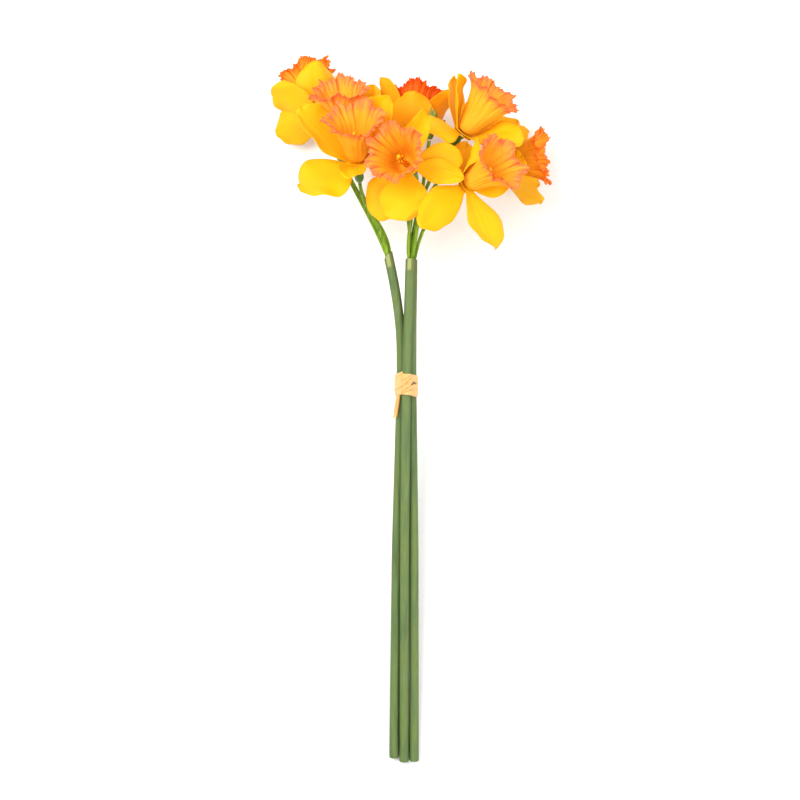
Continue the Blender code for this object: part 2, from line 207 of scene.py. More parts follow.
def coat(tree, surface, colour, relief, strength, depth, finish):
    """The last steps of an opaque material: its colour, its relief in metres and its surface's finish."""
    bump = add_node(tree, "Bump", {"Height": relief, "Strength": strength, "Distance": depth})
    shader = add_node(tree, "BsdfPrincipled",
                      {"Base Color": colour, "Normal": bump.outputs["Normal"], **finish})
    tree.links.new(shader.outputs["BSDF"], surface)


def stem_plastic(name, right, left):
    """Moulded polyethylene: waxy, half matt, with lengthwise streaks of yellower and greyer green. The two
    greys set how much painted shade darkens its right and left side, where it lies against its neighbour."""
    material, tree, surface = new_material(name)
    place = add_node(tree, "TexCoord").outputs["Object"]
    drawn = add_node(tree, "Mapping", {"Vector": place, "Scale": (1.0, 0.02, 1.0)})
    streaks = add_node(tree, "TexNoise", {"Vector": drawn.outputs["Vector"], "Scale": 260.0, "Detail": 4.0})
    green = add_node(tree, "ValToRGB", {"Fac": streaks.outputs["Fac"]},
                     stops=((0.3, "#425820"), (0.72, "#67774A"), (0.42, "#516733"), (0.55, "#5F7236"),
                            (0.62, "#586C2B")))
    blotches = add_node(tree, "TexNoise", {"Vector": place, "Scale": 60.0, "Detail": 2.0})
    patchy = add_node(tree, "MapRange",
                      {"Value": blotches.outputs["Fac"], "From Min": 0.4, "From Max": 0.9, "To Max": 0.7})
    toned = add_node(tree, "Mix", {0: patchy.outputs[0], 6: green.outputs["Color"], 7: linear("#516B3C")},
                     data_type="RGBA")
    sheet = sheet_places(tree)
    # the rows run from the cut end to the socket's floor: 0.90 to 0.95 are the sleeve, then comes the inside
    zone = add_node(tree, "ValToRGB", {"Fac": sheet["Y"]},
                    stops=((0.0, "#000000"), (1.0, "#000000"), (0.901, "#000000"), (0.904, "#FFFFFF"),
                           (0.945, "#FFFFFF"), (0.95, "#000000")))
    sleeved = add_node(tree, "Mix", {0: zone.outputs["Color"], 6: toned.outputs[2], 7: linear("#616C34")},
                       data_type="RGBA")
    off = add_node(tree, "Math", {0: sheet["X"], 1: 0.285}, operation="SUBTRACT")
    away = add_node(tree, "Math", {0: off.outputs[0]}, operation="ABSOLUTE")
    near = add_node(tree, "MapRange", {"Value": away.outputs[0], "From Min": 0.075, "From Max": 0.06})
    tongue = add_node(tree, "Math", {0: near.outputs[0], 1: zone.outputs["Color"]}, operation="MULTIPLY")
    paled = add_node(tree, "Mix", {0: tongue.outputs[0], 6: sleeved.outputs[2], 7: linear("#8F9A5A")},
                     data_type="RGBA")
    # painted shade: each side is darkened where the stem lies against its neighbour
    flank_shade_ramp = add_node(tree, "ValToRGB", {"Fac": sheet["X"]},
                      stops=((0.0, right), (1.0, right), (0.12, "#000000"), (0.38, "#000000"),
                             (0.5, left), (0.62, "#000000"), (0.88, "#000000")))
    flank_shaded = add_node(tree, "Mix", {0: flank_shade_ramp.outputs["Color"], 6: paled.outputs[2], 7: linear("#1C2A0A")},
                     data_type="RGBA")
    # painted shade inside the socket, deepening from its mouth down to its floor
    depth = add_node(tree, "ValToRGB", {"Fac": sheet["Y"]}, stops=((0.945, "#000000"), (0.97, "#FFFFFF")))
    socket_shaded = add_node(tree, "Mix", {0: depth.outputs["Color"], 6: flank_shaded.outputs[2], 7: linear("#1B2409")},
                      data_type="RGBA")
    coat(tree, surface, socket_shaded.outputs[2], streaks.outputs["Fac"], 0.25, 0.0003,
         {"Roughness": 0.55, "IOR": 1.45})
    return material


stem_shells = {name: stem_shell(name) for name in STEM_TOPS}
drawn_low = Vector([min(v.co[i] for v in stem_shells["right"].verts) for i in range(3)])
TO_FRAME = Matrix.Translation(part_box("right_stem")[0] - drawn_low * MM) @ Matrix.Scale(MM, 4)


def finish_piece(name, shell, material, nodes, wall=0.0):
    """Puts a shape into the frame as a piece of the bunch, with a wall's thickness if it is a sheet."""
    bmesh.ops.recalc_face_normals(shell, faces=shell.faces)
    bmesh.ops.transform(shell, matrix=TO_FRAME, verts=shell.verts)
    mesh = bpy.data.meshes.new(name)
    shell.to_mesh(mesh)
    shell.free()
    mesh.shade_smooth()
    mesh.materials.append(material)
    piece = bpy.data.objects.new(name, mesh)
    bpy.context.scene.collection.objects.link(piece)
    if wall:
        thick = piece.modifiers.new("wall", "SOLIDIFY")
        thick.thickness = wall * MM
        thick.offset = 0.0
    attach(piece, "root")
    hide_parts(*nodes)


# how much painted shade darkens each stem's right and left side, where the stems touch
SHADED_FLANK, UNSHADED_FLANK = "#E6E6E6", "#000000"
STEM_FLANK_SHADE = {"left": (SHADED_FLANK, UNSHADED_FLANK), "middle": (SHADED_FLANK, SHADED_FLANK), "right": (UNSHADED_FLANK, SHADED_FLANK)}
for name, shell in stem_shells.items():
    stem_green = stem_plastic("moulded_polyethylene_stem_" + name, *STEM_FLANK_SHADE[name])
    finish_piece(name + "_stem_tube", shell, stem_green, [name + "_stem"])


# ---- The flower stalks ----
# Thin solid stalks of softer, yellower plastic. Three are plugged into each stem's open top, and each one
# curves out to the back of its own head.

PEDICEL_RADIUS = 1.15
PLUG_RADIUS = 0.95
SOCKET_RING = 1.42
STALK_STEPS = 44
OVARY_LENGTH = 16.0
# name: base of the head and the way it faces
HEADS = {
    "far_left": ((-59, 186, 31), (-0.33, 0.86, -0.36)),
    "back_left": ((-45, 171, 46), (-0.10, 0.89, 0.42)),
    "front_left": ((-36, 155, 76), (-0.08, 0.74, 0.67)),
    "front_centre": ((-4, 152.5, 80), (-0.26, 0.20, 0.94)),
    "back_centre": ((-3, 169, 42), (0.13, 0.91, -0.37)),
    "top_right": ((30, 174, 60), (0.60, 0.74, 0.30)),
    "front_right": ((32, 141, 72), (0.66, 0.40, 0.64)),
    "far_right": ((49, 158, 30), (0.96, 0.10, 0.20)),
}
BUD_HEAD = ((9.5, 171.0, 59.0), (0.15, 0.97, 0.1))
# name: the stem it is plugged into, and its place round the socket in degrees
SOCKETS = {
    "far_left": ("left", 210), "back_left": ("left", 330), "front_left": ("left", 90),
    "front_centre": ("middle", 150), "back_centre": ("middle", 270), "bud": ("middle", 30),
    "top_right": ("right", 112), "front_right": ("right", 0), "far_right": ("right", 240),
}


def hermite(t, start, leave, end, arrive):
    """A point on a smooth curve between two ends, given the speeds at which it leaves and arrives."""
    return ((2 * t ** 3 - 3 * t ** 2 + 1) * start + (t ** 3 - 2 * t ** 2 + t) * leave
            + (-2 * t ** 3 + 3 * t ** 2) * end + (t ** 3 - t ** 2) * arrive)


def stalk_shell(name, base, axis, back):
    """A round stalk from a stem's socket to the back of a head. The front left one has a knot three quarters
    of the way up, a third thicker, where a leaf scale was."""
    stem, place = SOCKETS[name]
    top = STEM_TOPS[stem]
    direction = (stem_centre(stem, top + 1) - stem_centre(stem, top - 1)).normalized()
    across = direction.cross(UP).normalized()
    upward = across.cross(direction)
    offset = SOCKET_RING * (across * math.cos(math.radians(place)) + upward * math.sin(math.radians(place)))
    mouth = stem_centre(stem, top) + offset + direction * 1.5
    end = Vector(base) - Vector(axis).normalized() * back
    span = (end - mouth).length
    leave = (direction + offset * 0.12) * span * 0.9
    arrive = Vector(axis).normalized() * span * 0.9
    path = [mouth - direction * 10.0, mouth - direction * 5.0]
    path += [hermite(n / STALK_STEPS, mouth, leave, end, arrive) for n in range(STALK_STEPS + 1)]
    rings = []
    for n, centre in enumerate(path):
        aim = path[min(n + 1, len(path) - 1)] - path[max(n - 1, 0)]
        swell = 1.0 + 0.35 * math.exp(-((n / len(path) - 0.72) / 0.035) ** 2) if name == "front_left" else 1.0
        radius = PLUG_RADIUS if n < 3 else PEDICEL_RADIUS * swell

        def reach(angle, radius=radius):
            return radius * (0.97 + 0.03 * math.cos(6 * angle))

        rings.append((centre, aim, reach))
    rings = [(path[0], path[1] - path[0], 0.0)] + rings + [(path[-1], path[-1] - path[-2], 0.0)]
    shell = bmesh.new()
    add_rolled(shell, 24, rings)
    return shell


def stalk_plastic():
    """Soft polyethylene, a clear yellow-green with darker lengthwise streaks."""
    material, tree, surface = new_material("soft_polyethylene_stalk")
    place = add_node(tree, "TexCoord").outputs["Object"]
    drawn = add_node(tree, "Mapping", {"Vector": place, "Scale": (1.0, 0.06, 0.6)})
    streaks = add_node(tree, "TexNoise", {"Vector": drawn.outputs["Vector"], "Scale": 700.0, "Detail": 2.0})
    green = add_node(tree, "ValToRGB", {"Fac": streaks.outputs["Fac"]},
                     stops=((0.3, "#4E7006"), (0.7, "#88AA18"), (0.5, "#6C900A")))
    coat(tree, surface, green.outputs["Color"], streaks.outputs["Fac"], 0.2, 0.0002,
         {"Roughness": 0.42, "IOR": 1.5, "Specular IOR Level": 0.25})
    return material


stalk_green = stalk_plastic()
for name, (base, axis) in HEADS.items():
    finish_piece(name + "_stalk", stalk_shell(name, base, axis, OVARY_LENGTH + 0.8), stalk_green,
                 [name + "_pedicel"])
finish_piece("bud_stalk", stalk_shell("bud", *BUD_HEAD, 1.0), stalk_green, ["bud_pedicel"])


# ---- The seed cases ----
# The swollen dark green ovary behind each head: a moulded plastic sleeve with three shallow grooves, pushed
# on the end of the stalk up against the petals. It is glossier than the stalk.

# along the head's axis from the petals' ring, and radius
OVARY_PROFILE = ((-16.3, 0.0), (-16.2, 0.9), (-16.0, 1.25), (-15.2, 1.6), (-14.4, 2.2), (-13.2, 2.8),
                 (-11.8, 3.05), (-9.8, 2.95), (-7.4, 2.6), (-5.0, 2.2), (-3.0, 1.95), (-2.0, 2.1),
                 (-1.3, 2.5), (-1.0, 2.4), (-0.9, 1.6), (-0.9, 0.0))


def head_matrix(base, axis):
    """From a head's own directions, with Z along the way it faces, to the drawing."""
    facing = Vector(axis).normalized()
    top = (UP - facing * facing.z).normalized()
    side = facing.cross(top)
    turn = Matrix((top, side, facing)).transposed().to_4x4()
    return Matrix.Translation(Vector(base)) @ turn


def add_spun(shell, segments, profile, lobes=0.0, count=3):
    """A closed shape turned about the head's own axis: profile rows are (along, radius)."""

    def place(u, v):
        along, radius = profile[round(v * (len(profile) - 1))]
        angle = 2 * math.pi * u
        reach = radius * (1.0 + lobes * math.cos(count * angle))
        return Vector((reach * math.cos(angle), reach * math.sin(angle), along))

    verts = add_sheet(shell, segments, len(profile) - 1, place)
    bmesh.ops.remove_doubles(shell, verts=verts, dist=MERGE_GAP)


def ovary_plastic():
    """Moulded plastic with a soft shine: deep green, yellower towards the stalk."""
    material, tree, surface = new_material("moulded_plastic_seed_case")
    place = add_node(tree, "TexCoord").outputs["Object"]
    mottle = add_node(tree, "TexNoise", {"Vector": place, "Scale": 260.0, "Detail": 3.0})
    ends = add_node(tree, "ValToRGB", {"Fac": sheet_places(tree)["Y"]},
                    stops=((0.0, "#668C0C"), (1.0, "#66880C"), (0.35, "#466806"), (0.75, "#3C5E08")))
    toned = add_node(tree, "Mix", {0: mottle.outputs["Fac"], 6: ends.outputs["Color"], 7: linear("#4A701C")},
                     data_type="RGBA")
    coat(tree, surface, toned.outputs[2], mottle.outputs["Fac"], 0.15, 0.0003,
         {"Roughness": 0.34, "IOR": 1.5, "Specular IOR Level": 0.3})
    return material


ovary_green = ovary_plastic()
for name, (base, axis) in HEADS.items():
    shell = bmesh.new()
    add_spun(shell, 36, OVARY_PROFILE, 0.04)
    bmesh.ops.transform(shell, matrix=head_matrix(base, axis), verts=shell.verts)
    finish_piece(name + "_seed_case", shell, ovary_green, [name + "_ovary"])


# ---- The outer petals ----
# Polyester silk, printed golden yellow, die-cut in threes that join at a ring, pressed to shape with a crease
# down the middle and fine veins, and threaded over the neck of the seed case.

SILK_WALL = 0.4
NECK_RADIUS = 1.8
RING_RADIUS = 5.0
RING_WIDTH = 4.9
RING_COLUMNS = 36
RING_ROWS = 5
PETAL_COLUMNS = 26
PETAL_ROWS = 44
THREAD_SCALE = 2200.0 / 6.3
# radius and half width of a petal's claw on the ring
PETAL_CLAW = ((1.7, 1.1), (2.8, 1.9), (3.9, 2.6))
# three petals for each head: turn round it, lean at base and at tip, length, width, cup, twist, sweep
OUTER_PETALS = {
    "far_left": ((-54, 52, 30, 35, 30, 0.22, 0, 0), (86, 46, 30, 28, 22, 0.22, 0, 0),
                 (-112, 77, 60, 30, 28, 0.15, 75, 0)),
    "back_left": ((130, 46, 40, 38, 24, 0.15, 0, 0), (10, 46, 42, 12, 12, 0.1, 0, 0),
                  (-110, 40, 34, 22, 18, 0.15, 0, 0)),
    "front_left": ((-60, 80, 104, 38, 40, 0.0, 0, 0), (70, 42, 38, 11, 10, 0.15, 0, 0),
                   (180, 62, 58, 18, 14, 0.1, 0, 0)),
    "front_centre": ((-90, 84, 106, 34, 30, 0.0, 0, 14), (56, 96, 104, 30, 22, 0.0, 0, -26),
                     (192, 40, 36, 20, 16, 0.1, 0, 0)),
    "back_centre": ((-4, 56, 20, 33, 28, 0.25, 0, 0), (120, 44, 30, 30, 22, 0.22, 0, 0),
                    (-120, 44, 30, 30, 22, 0.22, 0, 0)),
    "top_right": ((-40, 92, 118, 27, 26, 0.0, 0, 0), (138, 54, 48, 38, 24, 0.1, 0, 5),
                  (-122, 52, 44, 35, 20, 0.1, 0, 10)),
    "front_right": ((6, 94, 106, 48, 24, 0.0, 0, 8), (152, 56, 46, 26, 20, 0.1, 0, 0),
                    (-128, 76, 80, 25, 22, 0.1, 0, 0)),
    "far_right": ((80, 36, 38, 40, 31, 0.1, -40, 0), (-30, 38, 34, 26, 20, 0.15, 0, 0),
                  (-150, 62, 54, 40, 24, 0.15, 0, 0)),
}


def petal_width(s):
    """Share of the full width at a share of the length: a narrow claw, a broad blade and a round tip."""
    if s < 0.5:
        return 0.27 + 0.73 * math.sin(math.pi * s) ** 1.3
    return max(1.0 - ((s - 0.5) / 0.5) ** 2.2, 0.0) ** 0.588


def petal_spine(row, lift):
    """The petal's midrib from the ring to the tip: (middle, across, face, half width) for each row."""
    turn, lean, tip_lean, length, width, cup, twist, sweep = row
    out = Vector((math.cos(math.radians(turn)), math.sin(math.radians(turn)), 0.0))
    side = Vector((-out.y, out.x, 0.0))
    spine = [(out * radius + UP * lift, side, UP, half) for radius, half in PETAL_CLAW]
    middle = out * RING_RADIUS + UP * lift
    steps = PETAL_ROWS - len(spine)
    before = 0.0
    for n in range(steps + 1):
        s = 1.0 - (1.0 - n / steps) ** 1.5
        half_way = (s + before) / 2
        angle = math.radians(lean + (tip_lean - lean) * half_way)
        heading = math.radians(turn + sweep * min(half_way + 0.1, 1.0))
        out = Vector((math.cos(heading), math.sin(heading), 0.0))
        side = Vector((-out.y, out.x, 0.0))
        middle = middle + length * (s - before) * (out * math.sin(angle) + UP * math.cos(angle))
        inward = -out * math.cos(angle) + UP * math.sin(angle)
        swing = math.radians(twist * s)
        across = side * math.cos(swing) + inward * math.sin(swing)
        face = inward * math.cos(swing) - side * math.sin(swing)
        spine.append((middle, across, face, width * petal_width(s) / 2))
        before = s
    return spine


def add_petal(shell, row, lift, seed):
    """One pressed petal: cupped, creased down the middle, waved along its edges, with a notch on one side."""
    spine = petal_spine(row, lift)
    length, width, cup = row[3:6]

    def place(u, v):
        middle, across, face, half = spine[round(v * (len(spine) - 1))]
        side = 2 * u - 1
        away = abs(side)
        rise = cup * half * side * side
        rise -= 0.40 * math.exp(-(side / 0.10) ** 2) * math.sin(math.pi * min(v * 1.05, 1.0))
        rise += 0.12 * math.cos(9.5 * side) * math.sin(math.pi * v)
        hand = 1 if side > 0 else -1
        wave = math.sin(8.0 * v + 2.1 * seed + 1.3 * hand) + 0.5 * math.sin(17.0 * v + 0.7 * seed - hand)
        rise += 0.06 * width * wave * away ** 2.2 * min(v * 1.6, 1.0)
        rise += 1.5 * noise.noise(Vector((1.3 * side, 2.4 * v, 3.7 * seed))) * min(v * 2, 1.0)
        trim = 1.0 + 0.10 * noise.noise(Vector((4.5 * v, 2.0 * seed, 4.0 * hand)))
        notch = math.exp(-((v - 0.80 - 0.04 * math.sin(seed)) / 0.05) ** 2)
        trim -= 0.16 * notch * (hand == (1 if seed % 2 else -1))
        tip = 0.02 * length * max(v - 0.8, 0.0) / 0.2 * math.sin(3.1 * side + seed)
        tip *= min(half / (0.25 * width), 1.0)
        return middle + across * half * side * trim + face * rise + across.cross(face) * tip * -1.0

    add_sheet(shell, PETAL_COLUMNS, PETAL_ROWS, place)


def add_ring(shell, lift):
    """The ring that the petals of one layer are cut from: a shallow dish round the neck of the seed case."""

    def place(u, v):
        angle = 2 * math.pi * u
        radius = NECK_RADIUS + RING_WIDTH * v
        return Vector((radius * math.cos(angle), radius * math.sin(angle), lift - 0.35 + 1.3 * v * v))

    verts = add_sheet(shell, RING_COLUMNS, RING_ROWS, place)
    bmesh.ops.remove_doubles(shell, verts=verts, dist=MERGE_GAP)


def stretched(tree, sheet, across, along):
    """The sheet's own map drawn out, so that a noise on it makes lines along the piece."""
    run = add_node(tree, "Math", {0: sheet["X"], 1: across}, operation="MULTIPLY")
    drift = add_node(tree, "Math", {0: sheet["Y"], 1: along}, operation="MULTIPLY")
    return add_node(tree, "CombineXYZ", {"X": run.outputs[0], "Y": drift.outputs[0]}).outputs[0]


def silk_sheen(tree, surface, colour, relief, strength, depth, glow_share):
    """The last steps of a silk: a satin weave with a soft shine, and a share of light that comes through."""
    bump = add_node(tree, "Bump", {"Height": relief, "Strength": strength, "Distance": depth})
    satin = add_node(tree, "BsdfPrincipled", {
        "Base Color": colour, "Roughness": 0.6, "IOR": 1.4, "Specular IOR Level": 0.3,
        "Normal": bump.outputs["Normal"]})
    glow = add_node(tree, "BsdfTranslucent", {"Color": colour, "Normal": bump.outputs["Normal"]})
    mixed = add_node(tree, "MixShader", {0: glow_share, 1: satin.outputs["BSDF"], 2: glow.outputs["BSDF"]})
    tree.links.new(mixed.outputs[0], surface)


def petal_silk(name, base, body, rim):
    """Printed polyester silk, whose colour shifts from the base to the rim, with fine veins. Its 0.15 mm
    threads are drawn 1 mm apart so that they show."""
    material, tree, surface = new_material(name)
    place = add_node(tree, "TexCoord").outputs["Object"]
    sheet = sheet_places(tree)
    tint = add_node(tree, "ValToRGB", {"Fac": sheet["Y"]}, stops=((0.1, base), (0.95, rim), (0.5, body)))
    off = add_node(tree, "Math", {0: sheet["X"], 1: 0.5}, operation="SUBTRACT")
    away = add_node(tree, "Math", {0: off.outputs[0]}, operation="ABSOLUTE")
    edge = add_node(tree, "MapRange",
                    {"Value": away.outputs[0], "From Min": 0.34, "From Max": 0.5, "To Max": 0.7})
    edged = add_node(tree, "Mix", {0: edge.outputs[0], 6: tint.outputs["Color"], 7: linear(rim)},
                     data_type="RGBA")
    veins = add_node(tree, "TexNoise",
                     {"Vector": stretched(tree, sheet, 34.0, 1.4), "Scale": 1.0, "Detail": 2.0})
    lines = add_node(tree, "MapRange",
                     {"Value": veins.outputs["Fac"], "From Min": 0.35, "From Max": 0.75, "To Max": 0.3})
    veined = add_node(tree, "Mix", {0: lines.outputs[0], 6: edged.outputs[2], 7: linear(base)},
                      data_type="RGBA")
    cloud = add_node(tree, "TexNoise", {"Vector": place, "Scale": 45.0, "Detail": 2.0})
    patch = add_node(tree, "MapRange",
                     {"Value": cloud.outputs["Fac"], "From Min": 0.45, "From Max": 0.8, "To Max": 0.35})
    printed = add_node(tree, "Mix", {0: patch.outputs[0], 6: veined.outputs[2], 7: linear(base)},
                       data_type="RGBA")
    threads = add_node(tree, "TexWave", {"Vector": place, "Scale": THREAD_SCALE, "Distortion": 0.6},
                       bands_direction="DIAGONAL")
    grain = add_node(tree, "Math", {0: threads.outputs["Fac"], 1: 0.12, 2: veins.outputs["Fac"]},
                     operation="MULTIPLY_ADD")
    silk_sheen(tree, surface, printed.outputs[2], grain.outputs[0], 0.3, 0.0003, 0.25)
    return material


def make_petals(table, layer, lift, first_seed, silk):
    """One layer of petals on every head, threaded on at its height. The back centre head takes a deeper amber
    copy of the silk, which is painted shade for the head that sits deepest in the bunch.
    """
    for number, (name, petals) in enumerate(table.items()):
        shell = bmesh.new()
        for count, row in enumerate(petals):
            add_petal(shell, row, lift, first_seed + 3 * number + count)
        add_ring(shell, lift)
        bmesh.ops.transform(shell, matrix=head_matrix(*HEADS[name]), verts=shell.verts)
        finish_piece(f"{name}_{layer}_petals", shell, shaded_amber_silk if name == "back_centre" else silk,
                     [f"{name}_{layer}_tepals"], SILK_WALL)


# a deeper amber copy of the gold silk: painted shade for the back centre head
shaded_amber_silk = petal_silk("polyester_silk_petal_amber_shaded", "#F8A004", "#FBAA06", "#FDB208")
outer_silk = petal_silk("polyester_silk_petal_gold", "#FDC40C", "#FDC00A", "#FBBA08")
make_petals(OUTER_PETALS, "outer", 0.0, 0, outer_silk)


# ---- The inner petals ----
# Three more silk petals cut in one piece, a shade lighter, set between the outer ones and threaded on a
# little above them.

LAYER_STEP = 1.5
INNER_FIRST_SEED = 40
INNER_PETALS = {
    "far_left": ((22, 36, 16, 34, 27, 0.36, 0, 0), (-92, 36, 20, 34, 24, 0.36, 0, 0),
                 (150, 36, 18, 30, 22, 0.36, 0, 0)),
    "back_left": ((70, 36, 32, 36, 22, 0.3, 0, 0), (-50, 34, 30, 19, 16, 0.3, 0, 0),
                  (190, 32, 26, 23, 18, 0.3, 0, 0)),
    "front_left": ((-118, 44, 46, 46, 31, 0.2, 0, 0), (-10, 50, 82, 30, 18, 0.15, 0, 0),
                   (127, 40, 34, 43, 24, 0.25, 0, 0)),
    "front_centre": ((-60, 62, 94, 34, 32, -0.05, 0, 18), (28, 90, 104, 32, 17, 0.0, -20, -8),
                     (111, 68, 42, 35, 16, 0.1, 75, -16)),
    "back_centre": ((60, 38, 30, 40, 24, 0.3, 0, 0), (180, 36, 24, 30, 20, 0.32, 0, 0),
                    (-64, 34, 28, 43, 22, 0.3, 0, 0)),
    "top_right": ((-76, 38, 30, 36, 20, 0.2, -25, 0), (80, 50, 48, 36, 25, 0.1, 80, 0),
                  (185, 40, 34, 28, 20, 0.25, 0, 0)),
    "front_right": ((72, 78, 90, 42, 28, 0.0, 0, 0), (184, 42, 40, 28, 20, 0.25, 0, 0),
                    (-98, 34, 30, 28, 26, 0.2, 50, 0)),
    "far_right": ((156, 54, 48, 38, 22, 0.2, 0, 0), (10, 32, 28, 28, 18, 0.3, 0, 0),
                  (-92, 34, 30, 24, 20, 0.3, 0, 0)),
}

inner_silk = petal_silk("polyester_silk_petal_yellow", "#FEC810", "#FEC40C", "#FCBE0A")
make_petals(INNER_PETALS, "inner", LAYER_STEP, INNER_FIRST_SEED, inner_silk)


# ---- The trumpets ----
# A strip of crinkled polyester silk rolled into a pleated cup. It flares to a ruffled mouth whose edge is
# cut ragged and dyed coral, while the throat stays yellow.

TRUMPET_WALL = 0.45
TRUMPET_FLOOR = 3.4
TRUMPET_DEPTH = 37.0
FLARE_START = 12.0
THROAT_RADIUS = 4.4
FLOOR_SHARE = 0.07
TRUMPET_COLUMNS = 300
TRUMPET_ROWS = 44
# along the head's axis, and radius
TRUMPET_PROFILE = ((TRUMPET_FLOOR, THROAT_RADIUS), (7.0, 6.4), (16.0, 8.6), (26.0, 11.8), (33.0, 15.0),
                   (TRUMPET_DEPTH, 18.0))


def eased(table, place):
    """A smooth curve through a table of (place, value) rows."""
    for n, ((p0, v0), (p1, v1)) in enumerate(zip(table, table[1:])):
        if place <= p1 or n == len(table) - 2:
            t = (place - p0) / (p1 - p0)
            left = table[max(n - 1, 0)]
            right = table[min(n + 2, len(table) - 1)]
            m0 = (v1 - left[1]) / (p1 - left[0]) * (p1 - p0)
            m1 = (right[1] - v0) / (right[0] - p0) * (p1 - p0)
            return hermite(t, v0, m0, v1, m1)
    return table[-1][1]


def keep_creases(shell, marks, columns, rows, flat):
    """Keeps how deep in a crease each point of a rolled sheet lies. A point without a mark is flat."""
    crease = shell.verts.layers.float["crease"]
    layer = shell.loops.layers.uv["SheetMap"]
    for face in shell.faces:
        for loop in face.loops:
            u, v = loop[layer].uv
            loop.vert[crease] = marks.get((round(u * columns) % columns, round(v * rows)), flat)


def trumpet_shell(seed):
    """The pleated, ruffled cup, with how deep in a crease each point lies kept for the dye and the painted
    shade in the creases.
    """
    shell = bmesh.new()
    shell.verts.layers.float.new("crease")
    marks = {}

    def place(u, v):
        angle = 2 * math.pi * u
        if v < FLOOR_SHARE:
            radius = THROAT_RADIUS * v / FLOOR_SHARE
            return Vector((radius * math.cos(angle), radius * math.sin(angle), 3.2 + 0.2 * v / FLOOR_SHARE))
        climb = 1.0 - (1.0 - (v - FLOOR_SHARE) / (1.0 - FLOOR_SHARE)) ** 1.25
        along = TRUMPET_FLOOR + (TRUMPET_DEPTH - TRUMPET_FLOOR) * climb
        share = max(0.0, (along - FLARE_START) / (TRUMPET_DEPTH - FLARE_START))
        early = min((along - TRUMPET_FLOOR) / 14.0, 1.0)
        round_x, round_y = math.cos(angle), math.sin(angle)
        wander = noise.noise(Vector((2.2 * round_x, 2.2 * round_y, 3.0 * seed)))
        uneven = 0.55 + 0.9 * noise.noise(Vector((4.5 * round_x, 4.5 * round_y, seed + 9.0)))
        ruffle = 0.09 * share * math.cos(6 * angle + seed + 2 * wander)
        ruffle += 0.05 * share * math.cos(3 * angle + 2 * seed)
        frill = 1.7 * share ** 2 * math.sin(6 * angle + 1.3 * seed + 3 * wander)
        frill += 1.4 * share * math.sin(2 * angle + seed)
        bend = 1.6 * math.sin(2 * angle + seed) + 4.0 * wander
        pleat = uneven * math.cos(20 * angle + bend + 0.5 * math.sin(along / 5.0 + seed))
        fine = math.cos(43 * angle + 2 * bend + math.sin(along / 3.0))
        fold = 0.034 * early * pleat + 0.010 * early * fine
        crimp = 0.055 * uneven * math.cos(25 * angle + 2 * bend) + 0.034 * math.cos(57 * angle - 3 * bend)
        crimp *= share ** 3
        grain = noise.noise(Vector((5 * round_x, 5 * round_y, 0.5 * seed + 0.12 * along)))
        reach = eased(TRUMPET_PROFILE, along) * (1.0 + ruffle + fold + crimp + 0.09 * share * grain)
        ragged = noise.noise(Vector((9 * round_x, 9 * round_y, 5.0 * seed)))
        nick = noise.noise(Vector((24 * round_x, 24 * round_y, 2.0 * seed)))
        tear = max(share - 0.72, 0.0) / 0.28
        lift = frill + tear * tear * (2.6 * ragged + 1.6 * nick)
        lift -= (1.6 + 1.6 * ragged) * tear ** 3
        # how far each point lies in a pleat's hollow, kept for the dye and the painted shade
        hidden = -0.75 * pleat * early - 0.25 * fine * early - 0.6 * crimp / 0.08
        marks[(round(u * TRUMPET_COLUMNS) % TRUMPET_COLUMNS, round(v * TRUMPET_ROWS))] = 0.5 + 0.5 * hidden
        return Vector((reach * math.cos(angle), reach * math.sin(angle), along + lift))

    verts = add_sheet(shell, TRUMPET_COLUMNS, TRUMPET_ROWS, place)
    keep_creases(shell, marks, TRUMPET_COLUMNS, TRUMPET_ROWS, 0.5)
    bmesh.ops.remove_doubles(shell, verts=verts, dist=MERGE_GAP)
    return shell


